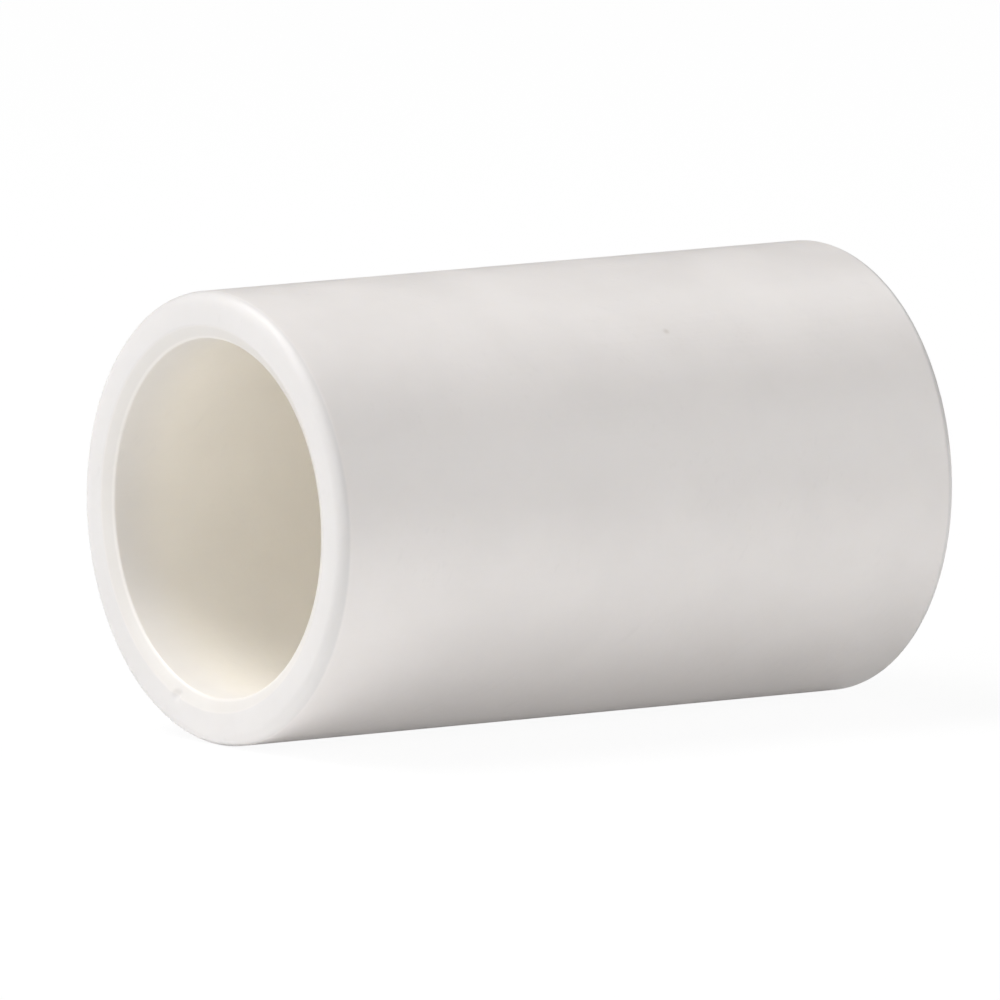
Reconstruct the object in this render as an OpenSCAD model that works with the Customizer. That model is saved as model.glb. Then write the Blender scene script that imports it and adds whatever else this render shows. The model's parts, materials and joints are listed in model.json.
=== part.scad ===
// Straight push fit coupling for plastic pipe.
// One moulded sleeve: a pipe pushes into the socket at each end, up to the stop in the middle.
// The sleeve lies on its side. Its axis is X, and the origin is its centre.

/* [Pipe] */
// Outside diameter of the pipe that pushes in
pipe_od = 21.5; // [16:0.5:50]
// Wall of that pipe, which the centre stop stands as high as
pipe_wall = 1.4; // [1.2:0.1:4]

/* [Sleeve] */
// Wall of the sleeve round its sockets
sleeve_wall = 2.85; // [2:0.05:6]
// Rounding of the outer edge at each end
end_radius = 0.8; // [0.2:0.1:3]

/* [Sockets] */
// Depth of each socket, from the end face to the stop
socket_depth = 21.4; // [14:0.1:50]
// Gap all round between the pipe and the front of the socket
socket_clearance = 0.05; // [0.02:0.01:0.3]
// Width of the sloping lead-in round the mouth, from the bore outwards
lead_in_width = 0.85; // [0.2:0.05:1.5]
// Depth of the lead-in
lead_in_depth = 0.45; // [0.2:0.05:1.5]
// Length of the grip taper, which tightens on the pipe
grip_length = 5; // [2:0.5:8]
// How far the grip taper closes inside the pipe's own radius
grip_bite = 0.1; // [0:0.02:0.3]
// Length of the straight bottom of the socket, behind the taper
root_length = 1.5; // [1:0.1:3]

/* [Centre stop] */
// Width of the stop between the two sockets
stop_width = 2.4; // [1.6:0.1:6]
// Rounding of the stop's inner edges
stop_radius = 0.4; // [0.1:0.1:0.7]
// Fillet in the corner where the stop meets the socket wall
stop_fillet = 0.4; // [0.1:0.1:0.7]

/* [Hidden] */
$fn = 96;
pipe_r = pipe_od / 2;
mouth_r = pipe_r + socket_clearance;   // straight front of a socket
root_r = pipe_r - grip_bite;           // straight bottom of a socket
passage_r = pipe_r - pipe_wall;        // way through the stop
sleeve_r = mouth_r + sleeve_wall;
sleeve_length = 2 * socket_depth + stop_width;
least_land = 0.2;                      // flat ring that is always left on a face
edge_r = min(end_radius, sleeve_wall - lead_in_width - least_land);
stop_land = root_r - passage_r - least_land;
stop_edge_r = min(stop_radius, stop_land / 2);
stop_corner_r = min(stop_fillet, stop_land / 2);
past = 1;                              // how far a cut runs past the face that it opens

// Quarter of a square corner, less the round that sits in it, with the corner at [0, 0]
module corner_scrap(r) {
    difference() {
        square(r);
        translate([r, r]) circle(r);
    }
}

// Half section of the sleeve with no hollow, its outer edges rounded
module outer_section() {
    difference() {
        translate([0, -sleeve_length / 2]) square([sleeve_r, sleeve_length]);
        for (end = [0, 1]) mirror([0, end])
            translate([sleeve_r, sleeve_length / 2]) rotate(180) corner_scrap(edge_r);
    }
}

// Half section of the socket towards positive length, from the stop out past the end face
module socket_section() {
    mouth = sleeve_length / 2;
    bottom = stop_width / 2;
    taper_start = bottom + root_length + grip_length;
    difference() {
        polygon([
            [0, bottom],
            [root_r, bottom],
            [root_r, bottom + root_length],
            [mouth_r, taper_start],
            [mouth_r, mouth - lead_in_depth],
            [mouth_r + lead_in_width, mouth],
            [mouth_r + lead_in_width, mouth + past],
            [0, mouth + past]
        ]);
        translate([root_r, bottom]) rotate(90) corner_scrap(stop_corner_r);
    }
}

// Half section of the way through the stop, which opens out round the stop's inner edges
module passage_section() {
    translate([0, -stop_width / 2 - past]) square([passage_r, stop_width + 2 * past]);
    for (side = [0, 1]) mirror([0, side])
        translate([passage_r, stop_width / 2]) rotate(-90) corner_scrap(stop_edge_r);
}

module coupling_sleeve() {
    color([0.93, 0.92, 0.89])
    rotate([0, 90, 0]) rotate_extrude()
    difference() {
        outer_section();
        for (side = [0, 1]) mirror([0, side]) socket_section();
        passage_section();
    }
}

coupling_sleeve();
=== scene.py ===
# Straight push fit coupling: one white moulded sleeve, lying on a pale floor in soft studio light
import json
import math

import bmesh
import bpy
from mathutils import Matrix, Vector


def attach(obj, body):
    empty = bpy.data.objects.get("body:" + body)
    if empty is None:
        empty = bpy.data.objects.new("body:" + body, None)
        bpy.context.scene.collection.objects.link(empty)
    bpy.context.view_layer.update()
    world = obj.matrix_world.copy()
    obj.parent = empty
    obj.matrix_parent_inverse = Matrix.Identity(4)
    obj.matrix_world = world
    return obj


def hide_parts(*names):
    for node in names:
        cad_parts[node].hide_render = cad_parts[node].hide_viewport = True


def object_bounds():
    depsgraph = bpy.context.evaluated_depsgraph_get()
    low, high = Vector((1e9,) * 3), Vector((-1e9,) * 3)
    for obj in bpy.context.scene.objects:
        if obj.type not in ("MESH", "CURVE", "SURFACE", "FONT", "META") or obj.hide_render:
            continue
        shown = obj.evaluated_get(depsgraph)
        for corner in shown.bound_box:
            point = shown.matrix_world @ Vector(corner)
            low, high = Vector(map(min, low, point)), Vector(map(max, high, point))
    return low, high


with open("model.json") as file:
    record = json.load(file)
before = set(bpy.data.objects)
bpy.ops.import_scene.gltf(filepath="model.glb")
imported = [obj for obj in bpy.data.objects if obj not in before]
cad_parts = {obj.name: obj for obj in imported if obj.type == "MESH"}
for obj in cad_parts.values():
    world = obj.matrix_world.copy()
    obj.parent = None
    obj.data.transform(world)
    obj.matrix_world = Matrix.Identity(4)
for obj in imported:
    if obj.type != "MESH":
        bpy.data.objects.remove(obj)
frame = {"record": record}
cadLow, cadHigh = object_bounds()
mounts = {mount["name"]: mount for mount in frame["record"]["mounts"]}
millimetre = 0.001


def deselectAll():
    for thing in list(bpy.context.selected_objects):
        thing.select_set(False)


def openEdit(piece, mode="FACE"):
    deselectAll()
    piece.select_set(True)
    bpy.context.view_layer.objects.active = piece
    bpy.ops.object.mode_set(mode="EDIT")
    bpy.ops.mesh.select_mode(type=mode)
    bpy.ops.mesh.select_all(action="DESELECT")


def closeEdit():
    bpy.ops.object.mode_set(mode="OBJECT")


def axisDistance(point):
    return math.hypot(point.y, point.z)


def squareToAxis(face):
    return abs(face.normal.x) > 0.9


def selectFaces(piece, wanted):
    mesh = bmesh.from_edit_mesh(piece.data)
    for face in mesh.faces:
        face.select_set(wanted(face))
    mesh.select_flush_mode()
    bmesh.update_edit_mesh(piece.data)


def selectRing(piece, along, radius):  # the edges at one place along the axis and one radius
    slack = 0.02 * millimetre
    mesh = bmesh.from_edit_mesh(piece.data)
    for edge in mesh.edges:
        onRing = all(abs(v.co.x - along) < slack and abs(axisDistance(v.co) - radius) < slack
                     for v in edge.verts)
        edge.select_set(onRing)
    mesh.select_flush_mode()
    bmesh.update_edit_mesh(piece.data)


socket = mounts["socket_right"]
sleeveShape = {
    "sides": 192,                                    # faces round the axis
    "outerRadius": -cadLow.z,
    "halfLength": cadHigh.x,
    "mouthRadius": socket["dims"]["r_mm"] * millimetre,
    "mouthEnd": socket["pos_m"][0] + socket["dims"]["length_mm"] / 2 * millimetre,
    "taperStart": socket["pos_m"][0] - socket["dims"]["length_mm"] / 2 * millimetre,
    "passageRadius": mounts["stop_passage"]["dims"]["r_mm"] * millimetre,
    "leadInWidth": 0.85 * millimetre,
    "rootRadius": 10.65 * millimetre,                # bottom of the socket, which grips the pipe
    "rootLength": 1.5 * millimetre,
    "stopHalfWidth": 1.2 * millimetre,
    "endRadius": 0.8 * millimetre,                   # outer edge of each end
    "stopRounding": 0.4 * millimetre,
    "mouthBreak": 0.10 * millimetre,                 # the soft edges of the lead-in
    "smoothAngle": 30,                               # degrees, past which an edge stays sharp
}


def buildSleeve(shape):
    flareRadius = shape["mouthRadius"] + shape["leadInWidth"]
    bpy.ops.mesh.primitive_cylinder_add(
        vertices=shape["sides"], radius=shape["outerRadius"],
        depth=2 * shape["halfLength"], end_fill_type="NGON", rotation=(0, math.pi / 2, 0))
    sleeve = bpy.context.active_object
    sleeve.name = sleeve.data.name = "mouldedSleeve"
    bpy.ops.object.transform_apply(location=False, rotation=True, scale=False)
    openEdit(sleeve)

    for side in (-1, 1):
        # the end's flat ring, then the socket pushed in step by step
        selectFaces(sleeve, lambda face: squareToAxis(face) and face.normal.x * side > 0)
        bpy.ops.mesh.inset(thickness=shape["outerRadius"] - flareRadius)
        place, radius = shape["halfLength"], flareRadius
        steps = [  # place along the axis and radius there
            (shape["mouthEnd"], shape["mouthRadius"]),
            (shape["taperStart"], shape["mouthRadius"]),
            (shape["stopHalfWidth"] + shape["rootLength"], shape["rootRadius"]),
            (shape["stopHalfWidth"], shape["rootRadius"]),
        ]
        for nextPlace, nextRadius in steps:
            bpy.ops.mesh.extrude_region_move(
                TRANSFORM_OT_translate={"value": (side * (nextPlace - place), 0, 0)})
            if nextRadius != radius:
                shrink = nextRadius / radius
                bpy.ops.transform.resize(value=(1, shrink, shrink), center_override=(0, 0, 0))
            place, radius = nextPlace, nextRadius
        bpy.ops.mesh.inset(thickness=shape["rootRadius"] - shape["passageRadius"])

    # open the stop: the two inner discs become one passage
    selectFaces(sleeve, lambda face: squareToAxis(face) and len(face.verts) == shape["sides"])
    bpy.ops.mesh.bridge_edge_loops()
    closeEdit()
    return sleeve


def roundEdges(sleeve, shape):
    flareRadius = shape["mouthRadius"] + shape["leadInWidth"]
    rings = [  # place along the axis, radius, width of the rounding, faces across it
        (shape["halfLength"], shape["outerRadius"], shape["endRadius"], 10),
        (shape["halfLength"], flareRadius, shape["mouthBreak"], 3),
        (shape["mouthEnd"], shape["mouthRadius"], shape["mouthBreak"], 3),
        (shape["stopHalfWidth"], shape["rootRadius"], shape["stopRounding"], 5),
        (shape["stopHalfWidth"], shape["passageRadius"], shape["stopRounding"], 5),
    ]
    openEdit(sleeve, "EDGE")
    for along, radius, width, segments in rings:
        for side in (-1, 1):
            selectRing(sleeve, side * along, radius)
            bpy.ops.mesh.bevel(offset=width, segments=segments, profile=0.5, affect="EDGES")
            bpy.ops.mesh.select_all(action="DESELECT")
    closeEdit()


mouldingPit = {                                      # a shallow dent in the lead-in of one mouth
    "radius": 11.6 * millimetre,
    "turn": 161.6,                                   # degrees round from the top, towards +Y
    "across": 1.1 * millimetre,
    "depth": 0.20 * millimetre,
    "patch": 1.7,                                    # how far out faces are divided, in dent radii
    "cuts": 6,                                       # how finely they are divided
}


def dentLeadIn(sleeve, shape, pit):
    turn = math.radians(pit["turn"])
    slope = (pit["radius"] - shape["mouthRadius"]) / shape["leadInWidth"]
    along = shape["mouthEnd"] + slope * (shape["halfLength"] - shape["mouthEnd"])
    middle = Vector((-along, pit["radius"] * math.sin(turn), pit["radius"] * math.cos(turn)))
    reach = pit["across"] / 2
    openEdit(sleeve)
    selectFaces(sleeve, lambda face: abs(face.normal.x) > 0.2  # on the end, not on the round walls
                and (face.calc_center_median() - middle).length < pit["patch"] * reach)
    bpy.ops.mesh.subdivide(number_cuts=pit["cuts"])
    selectFaces(sleeve, lambda face: len(face.verts) > 4)  # the neighbours that got extra corners
    bpy.ops.mesh.quads_convert_to_tris(quad_method="BEAUTY", ngon_method="BEAUTY")
    bpy.ops.mesh.select_mode(type="VERT")
    bpy.ops.mesh.select_all(action="DESELECT")
    mesh = bmesh.from_edit_mesh(sleeve.data)
    deepest = min(mesh.verts, key=lambda v: (v.co - middle).length)
    deepest.select_set(True)
    bmesh.update_edit_mesh(sleeve.data)
    bpy.ops.transform.translate(
        value=(pit["depth"], 0, 0), use_proportional_edit=True,
        proportional_edit_falloff="SMOOTH", proportional_size=reach)
    closeEdit()


sleeve = buildSleeve(sleeveShape)
roundEdges(sleeve, sleeveShape)
dentLeadIn(sleeve, sleeveShape, mouldingPit)
bpy.ops.object.shade_smooth_by_angle(angle=math.radians(sleeveShape["smoothAngle"]))
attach(sleeve, "root")
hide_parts("coupling_sleeve")
print("sleeve:", len(sleeve.data.vertices), "points,", len(sleeve.data.polygons), "faces")


def newGroup(name, inputs, outputs):  # an empty group: it reads a position, and the rest are floats
    group = bpy.data.node_groups.new(name, "ShaderNodeTree")
    sockets = group.interface
    sockets.new_socket(name="Position", in_out="INPUT", socket_type="NodeSocketVector")
    for label, value in inputs.items():
        socket = sockets.new_socket(name=label, in_out="INPUT", socket_type="NodeSocketFloat")
        socket.default_value = value
    for label in outputs:
        sockets.new_socket(name=label, in_out="OUTPUT", socket_type="NodeSocketFloat")
    given = group.nodes.new("NodeGroupInput").outputs
    out = group.nodes.new("NodeGroupOutput").inputs
    return group, given, out


def plug(tree, value, socket):  # a socket takes a link from another, or a plain number
    if hasattr(value, "is_output"):
        tree.links.new(value, socket)
    else:
        socket.default_value = value


def maths(tree, operation, first, second=0.0):
    node = tree.nodes.new("ShaderNodeMath")
    node.operation = operation
    plug(tree, first, node.inputs[0])
    plug(tree, second, node.inputs[1])
    return node.outputs[0]


def ramp(tree, value, low, high, lowValue=0.0, highValue=1.0):  # a soft step between two values
    node = tree.nodes.new("ShaderNodeMapRange")
    node.interpolation_type = "SMOOTHSTEP"
    for socket, number in zip(node.inputs[:5], (value, low, high, lowValue, highValue)):
        plug(tree, number, socket)
    return node.outputs[0]


def noise(tree, position, size, detail, roughness=0.5):
    node = tree.nodes.new("ShaderNodeTexNoise")
    tree.links.new(position, node.inputs["Vector"])
    plug(tree, maths(tree, "DIVIDE", 1.0, size), node.inputs["Scale"])
    node.inputs["Detail"].default_value = detail
    node.inputs["Roughness"].default_value = roughness
    return node.outputs["Fac"]


def scaled(tree, position, factors):
    node = tree.nodes.new("ShaderNodeVectorMath")
    node.operation = "MULTIPLY"
    tree.links.new(position, node.inputs[0])
    node.inputs[1].default_value = factors
    return node.outputs[0]


def blend(tree, share, first, second, mode="MIX"):
    node = tree.nodes.new("ShaderNodeMix")
    node.data_type = "RGBA"
    node.blend_type = mode
    plug(tree, share, node.inputs[0])
    plug(tree, first, node.inputs[6])
    plug(tree, second, node.inputs[7])
    return node.outputs[2]


skinPattern = {
    "rippleDetail": 2.0,
    "lineDetail": 3.0,
    "lineStretch": (0.02, 1, 1),                     # the lines run the way the mould was drawn
    "cloudDetail": 3.0,
    "cloudRoughness": 0.6,
    "rubTurn": (0.6, 0.3, 0.9),                      # rub marks run slantwise, in radians
    "rubStretch": (0.05, 1, 0.6),
    "rubDetail": 2.0,
    "rubEdge": (0.60, 0.72),                         # noise values where a mark starts and is full
    "patchSize": 0.8,                                # of the patches of marks, in cloud sizes
    "patchDetail": 1.0,
    "patchEdge": (0.48, 0.62),
}


def mouldedSkinGroup(pattern):  # what the mould leaves on plastic, and what handling adds
    group, given, out = newGroup(
        "mouldedSkin",
        {"Ripple Size": 1 * millimetre, "Line Width": 0.3 * millimetre,
         "Cloud Size": 6 * millimetre},
        ["Ripple", "Lines", "Cloud", "Scuffs"])
    position = given["Position"]
    ripple = noise(group, position, given["Ripple Size"], pattern["rippleDetail"])
    group.links.new(ripple, out["Ripple"])
    alongDraw = scaled(group, position, pattern["lineStretch"])
    lines = noise(group, alongDraw, given["Line Width"], pattern["lineDetail"])
    group.links.new(lines, out["Lines"])
    cloud = noise(
        group, position, given["Cloud Size"], pattern["cloudDetail"], pattern["cloudRoughness"])
    group.links.new(cloud, out["Cloud"])
    turned = group.nodes.new("ShaderNodeMapping")
    turned.inputs["Rotation"].default_value = pattern["rubTurn"]
    group.links.new(position, turned.inputs["Vector"])
    slantwise = scaled(group, turned.outputs[0], pattern["rubStretch"])
    streaks = noise(group, slantwise, given["Line Width"], pattern["rubDetail"])
    patchSize = maths(group, "MULTIPLY", given["Cloud Size"], pattern["patchSize"])
    patches = noise(group, position, patchSize, pattern["patchDetail"])
    streaks = ramp(group, streaks, *pattern["rubEdge"])
    patches = ramp(group, patches, *pattern["patchEdge"])
    group.links.new(maths(group, "MULTIPLY", streaks, patches), out["Scuffs"])
    return group


def specksGroup():  # sparse dark grains caught in the plastic
    group, given, out = newGroup(
        "specks", {"Spacing": 4 * millimetre, "Size": 0.1 * millimetre, "Share": 0.2}, ["Mask"])
    cells = group.nodes.new("ShaderNodeTexVoronoi")
    group.links.new(given["Position"], cells.inputs["Vector"])
    perMetre = maths(group, "DIVIDE", 1.0, given["Spacing"])
    group.links.new(perMetre, cells.inputs["Scale"])
    distance = maths(group, "MULTIPLY", cells.outputs["Distance"], given["Spacing"])
    halfSize = maths(group, "MULTIPLY", given["Size"], 0.5)
    near = ramp(group, distance, halfSize, given["Size"], 1.0, 0.0)
    chance = group.nodes.new("ShaderNodeSeparateColor")
    group.links.new(cells.outputs["Color"], chance.inputs[0])
    picked = maths(group, "LESS_THAN", chance.outputs[0], given["Share"])
    group.links.new(maths(group, "MULTIPLY", near, picked), out["Mask"])
    return group


def axisZonesGroup():  # soft masks by the distance from the axis and from the sleeve's middle
    group, given, out = newGroup(
        "axisZones",
        {"Bore Radius": 10.9 * millimetre, "Fade": 0.3 * millimetre, "End Start": 22 * millimetre,
         "Depth": 9 * millimetre, "Ring Radius": 11.6 * millimetre},
        ["Bore", "Deep Bore", "Lead In", "End Ring"])
    place = group.nodes.new("ShaderNodeSeparateXYZ")
    group.links.new(given["Position"], place.inputs[0])
    along = maths(group, "ABSOLUTE", place.outputs[0])
    across = group.nodes.new("ShaderNodeVectorMath")
    across.operation = "LENGTH"
    group.links.new(scaled(group, given["Position"], (0, 1, 1)), across.inputs[0])
    radius = across.outputs["Value"]

    boreEdge = maths(group, "ADD", given["Bore Radius"], given["Fade"])
    bore = ramp(group, radius, given["Bore Radius"], boreEdge, 1.0, 0.0)
    deepFull = maths(group, "SUBTRACT", given["End Start"], given["Depth"])
    deep = ramp(group, along, deepFull, given["End Start"], 1.0, 0.0)
    endFull = maths(group, "ADD", given["End Start"], given["Fade"])
    end = ramp(group, along, given["End Start"], endFull)
    ringFull = maths(group, "ADD", given["Ring Radius"], given["Fade"])
    outer = ramp(group, radius, given["Ring Radius"], ringFull)
    between = maths(group, "SUBTRACT", maths(group, "SUBTRACT", 1.0, bore), outer)

    group.links.new(bore, out["Bore"])
    group.links.new(maths(group, "MULTIPLY", deep, bore), out["Deep Bore"])
    group.links.new(maths(group, "MULTIPLY", end, between), out["Lead In"])
    group.links.new(maths(group, "MULTIPLY", end, outer), out["End Ring"])
    return group


plasticLook = {
    "outsideColor": (0.80, 0.768, 0.748),
    "mouthShadeColor": (0.785, 0.758, 0.725),             # just inside each mouth, a little darker and warmer than the outside: painted shade with some painted warm bounce light
    "boreBounceColor": (0.880, 0.838, 0.762),              # further in, creamier and lighter: painted warm bounce light inside the bore
    "ringShadeColor": (0.700, 0.681, 0.671),              # the flat ring and rounded edge of each end, darker than the outside: painted shade on the brightly lit ends
    # the lead-in cone, darker than the outside: painted shade on the brightly lit mouth
    "leadInShadeColor": (0.722, 0.698, 0.672),
    "boreRadius": 10.82 * millimetre,
    "ringRadius": 11.5 * millimetre,
    "endStart": 21.9 * millimetre,                   # where the ends' colours begin on the axis
    "fade": 0.20 * millimetre,
    "boreDepth": 4 * millimetre,                     # from endStart in to the bore's full colour
    "cloudSize": 7 * millimetre,
    "cloudDepth": 0.016,                             # share of the colour that comes and goes
    "cloudEdge": (0.3, 0.7),                         # noise values where a cloud starts and is full
    "rippleSize": 1.1 * millimetre,
    "rippleShare": 0.6,
    "lineWidth": 0.35 * millimetre,
    "lineShare": 0.35,
    "reliefHeight": 0.03 * millimetre,
    "roughness": 0.37,
    "roughnessSwing": 0.10,
    "scuffRoughness": 0.14,
    "ringRoughness": 0.08,                           # the ends are a little duller
    "speckColor": (0.42, 0.36, 0.30),
    "speckSpacing": 5 * millimetre,
    "speckSize": 0.10 * millimetre,
    "speckShare": 0.10,
    "speckStrength": 0.5,
    "oneSpeckAlong": 4.4 * millimetre,               # one grain that shows on the outside
    "oneSpeckTurn": -41,                             # degrees round from the top, towards +Y
    "oneSpeckSize": 0.32 * millimetre,
    "oneSpeckStrength": 0.35,
    "ior": 1.50,
    "subsurface": 0.08,
    "subsurfaceReach": 0.8 * millimetre,
    "subsurfaceSpread": (1.0, 0.85, 0.6),            # red travels furthest in the plastic
}


def useGroup(tree, group, position, values):
    node = tree.nodes.new("ShaderNodeGroup")
    node.node_tree = group
    tree.links.new(position, node.inputs["Position"])
    for label, value in values.items():
        node.inputs[label].default_value = value
    return node.outputs


def speckDistance(tree, position, look):  # from the one grain on the outside
    turn = math.radians(look["oneSpeckTurn"])
    radius = sleeveShape["outerRadius"]
    node = tree.nodes.new("ShaderNodeVectorMath")
    node.operation = "DISTANCE"
    tree.links.new(position, node.inputs[0])
    node.inputs[1].default_value = (
        look["oneSpeckAlong"], radius * math.sin(turn), radius * math.cos(turn))
    return node.outputs["Value"]


def whitePlastic(look):
    material = bpy.data.materials.new("whitePlastic")
    material.use_nodes = True
    tree = material.node_tree
    shader = tree.nodes["Principled BSDF"]
    position = tree.nodes.new("ShaderNodeTexCoord").outputs["Object"]
    zones = useGroup(tree, axisZonesGroup(), position, {
        "Bore Radius": look["boreRadius"], "Fade": look["fade"], "End Start": look["endStart"],
        "Depth": look["boreDepth"], "Ring Radius": look["ringRadius"]})
    skin = useGroup(tree, mouldedSkinGroup(skinPattern), position, {
        "Ripple Size": look["rippleSize"], "Line Width": look["lineWidth"],
        "Cloud Size": look["cloudSize"]})
    specks = useGroup(tree, specksGroup(), position, {
        "Spacing": look["speckSpacing"], "Size": look["speckSize"], "Share": look["speckShare"]})

    # colour: the outside; the end rings, lead-ins and mouths darkened with painted shade; the deep
    # bore creamier with painted warm bounce light; all faintly clouded, with the grains on top
    color = blend(tree, zones["End Ring"], (*look["outsideColor"], 1), (*look["ringShadeColor"], 1))
    color = blend(tree, zones["Lead In"], color, (*look["leadInShadeColor"], 1))
    color = blend(tree, zones["Bore"], color, (*look["mouthShadeColor"], 1))
    color = blend(tree, zones["Deep Bore"], color, (*look["boreBounceColor"], 1))
    depth = look["cloudDepth"]
    shade = ramp(tree, skin["Cloud"], *look["cloudEdge"], 1 - depth, 1 + depth)
    shade = maths(tree, "SUBTRACT", shade, maths(tree, "MULTIPLY", skin["Scuffs"], depth))
    color = blend(tree, 1.0, color, shade, "MULTIPLY")
    oneSpeck = ramp(tree, speckDistance(tree, position, look), 0.0, look["oneSpeckSize"],
                    look["oneSpeckStrength"], 0.0)
    grains = maths(tree, "MULTIPLY", specks["Mask"], look["speckStrength"])
    grains = maths(tree, "MAXIMUM", grains, oneSpeck)
    color = blend(tree, grains, color, (*look["speckColor"], 1))
    tree.links.new(color, shader.inputs["Base Color"])

    # gloss: cloudy, duller on the end rings and where rubbed
    swing = look["roughnessSwing"] / 2
    gloss = ramp(tree, skin["Cloud"], *look["cloudEdge"],
                 look["roughness"] - swing, look["roughness"] + swing)
    rubbed = maths(tree, "MULTIPLY", skin["Scuffs"], look["scuffRoughness"])
    duller = maths(tree, "MULTIPLY", zones["End Ring"], look["ringRoughness"])
    gloss = maths(tree, "ADD", maths(tree, "ADD", gloss, rubbed), duller)
    tree.links.new(gloss, shader.inputs["Roughness"])

    # relief: fine ripple all over, and lines along the draw everywhere but on the end rings
    walls = maths(tree, "SUBTRACT", 1.0, zones["End Ring"])
    lines = maths(tree, "MULTIPLY", skin["Lines"], look["lineShare"])
    lines = maths(tree, "MULTIPLY", lines, walls)
    ripple = maths(tree, "MULTIPLY", skin["Ripple"], look["rippleShare"])
    bump = tree.nodes.new("ShaderNodeBump")
    bump.inputs["Distance"].default_value = look["reliefHeight"]
    tree.links.new(maths(tree, "ADD", ripple, lines), bump.inputs["Height"])
    tree.links.new(bump.outputs["Normal"], shader.inputs["Normal"])

    shader.inputs["IOR"].default_value = look["ior"]
    shader.inputs["Subsurface Weight"].default_value = look["subsurface"]
    shader.inputs["Subsurface Radius"].default_value = look["subsurfaceSpread"]
    shader.inputs["Subsurface Scale"].default_value = look["subsurfaceReach"]
    return material


sleeve.data.materials.clear()
sleeve.data.materials.append(whitePlastic(plasticLook))
print("white plastic made")


cameraPlace = {
    "azimuth": -35.29,                               # degrees round from looking along +Y
    "elevation": 7.3,
    "distance": 1.924,
    "lens": 1152,
    "aimRight": -1.19 * millimetre,                  # the aim's place, from the sleeve's middle
    "aimUp": -0.50 * millimetre,
    "nearest": 0.1,                                  # what the camera shows, in metres from it
    "furthest": 20,
}


def placeCamera(place):
    turn, rise = math.radians(place["azimuth"]), math.radians(place["elevation"])
    flat = math.cos(rise)
    back = Vector((math.sin(turn) * flat, -math.cos(turn) * flat, math.sin(rise)))
    right = Vector((math.cos(turn), math.sin(turn), 0))
    up = back.cross(right)
    aim = (cadLow + cadHigh) / 2 + right * place["aimRight"] + up * place["aimUp"]
    camera = bpy.data.objects.new("camera", bpy.data.cameras.new("camera"))
    bpy.context.scene.collection.objects.link(camera)
    camera.data.lens = place["lens"]
    camera.data.clip_start, camera.data.clip_end = place["nearest"], place["furthest"]
    camera.location = aim + back * place["distance"]
    camera.rotation_mode = "QUATERNION"
    camera.rotation_quaternion = (-back).to_track_quat("-Z", "Y")
    bpy.context.scene.camera = camera


white = (1, 1, 1, 1)
studio = {
    "floorSize": 12,
    "floorColor": (0.90, 0.90, 0.90),
    "floorRoughness": 0.9,
    "floorLift": 0.10,                               # the floor's own faint light
    "floorWhite": 0.93,                              # share shown as white, the rest shows shadow
    "ambient": 0.04,
    "lightSize": 0.40,
    "lightDistance": 0.80,
    "lights": [                                      # name, degrees from +X, degrees up, watts
        ("keyBehindLeft", 137, 63, 5.5),
        ("keyDownTheBore", 170, 39, 1.7),
        ("fillNearEnd", 217, 9, 1.85),
        ("fillFarEnd", 318, 18, 1.6),
        ("backFarEnd", 12, 35, 1.1),
    ],
}


def makeFloor(plan):
    bpy.ops.mesh.primitive_plane_add(size=plan["floorSize"], location=(0, 0, cadLow.z))
    floor = bpy.context.active_object
    floor.name = "floor"
    material = bpy.data.materials.new("paleFloor")
    material.use_nodes = True
    tree = material.node_tree
    shader = tree.nodes["Principled BSDF"]
    shader.inputs["Base Color"].default_value = (*plan["floorColor"], 1)
    shader.inputs["Roughness"].default_value = plan["floorRoughness"]
    shader.inputs["Specular IOR Level"].default_value = 0
    shader.inputs["Emission Color"].default_value = white
    shader.inputs["Emission Strength"].default_value = plan["floorLift"]
    glow = tree.nodes.new("ShaderNodeEmission")
    path = tree.nodes.new("ShaderNodeLightPath")
    share = maths(tree, "MULTIPLY", path.outputs["Is Camera Ray"], plan["floorWhite"])
    mix = tree.nodes.new("ShaderNodeMixShader")
    tree.links.new(share, mix.inputs["Fac"])
    tree.links.new(shader.outputs["BSDF"], mix.inputs[1])
    tree.links.new(glow.outputs["Emission"], mix.inputs[2])
    tree.links.new(mix.outputs[0], tree.nodes["Material Output"].inputs["Surface"])
    floor.data.materials.append(material)


def softLight(name, size, place, power):
    light = bpy.data.objects.new(name, bpy.data.lights.new(name, "AREA"))
    bpy.context.scene.collection.objects.link(light)
    light.data.shape = "SQUARE"
    light.data.size = size
    light.data.energy = power
    light.location = place
    light.rotation_mode = "QUATERNION"
    light.rotation_quaternion = (-place).to_track_quat("-Z", "Y")


def makeWorld(plan):  # white behind the object, dimmer where it only lights the object
    world = bpy.data.worlds.new("studio")
    world.use_nodes = True
    tree = world.node_tree
    ambient = tree.nodes["Background"]
    ambient.inputs["Color"].default_value = white
    ambient.inputs["Strength"].default_value = plan["ambient"]
    backdrop = tree.nodes.new("ShaderNodeBackground")
    backdrop.inputs["Color"].default_value = white
    path = tree.nodes.new("ShaderNodeLightPath")
    mix = tree.nodes.new("ShaderNodeMixShader")
    tree.links.new(path.outputs["Is Camera Ray"], mix.inputs["Fac"])
    tree.links.new(ambient.outputs["Background"], mix.inputs[1])
    tree.links.new(backdrop.outputs["Background"], mix.inputs[2])
    tree.links.new(mix.outputs[0], tree.nodes["World Output"].inputs["Surface"])
    bpy.context.scene.world = world


placeCamera(cameraPlace)
makeFloor(studio)
for name, around, up, power in studio["lights"]:
    around, up = math.radians(around), math.radians(up)
    flat = math.cos(up)
    towards = Vector((math.cos(around) * flat, math.sin(around) * flat, math.sin(up)))
    softLight(name, studio["lightSize"], towards * studio["lightDistance"], power)
makeWorld(studio)
bpy.context.scene.view_settings.view_transform = "Standard"
print("camera, floor and lights placed")
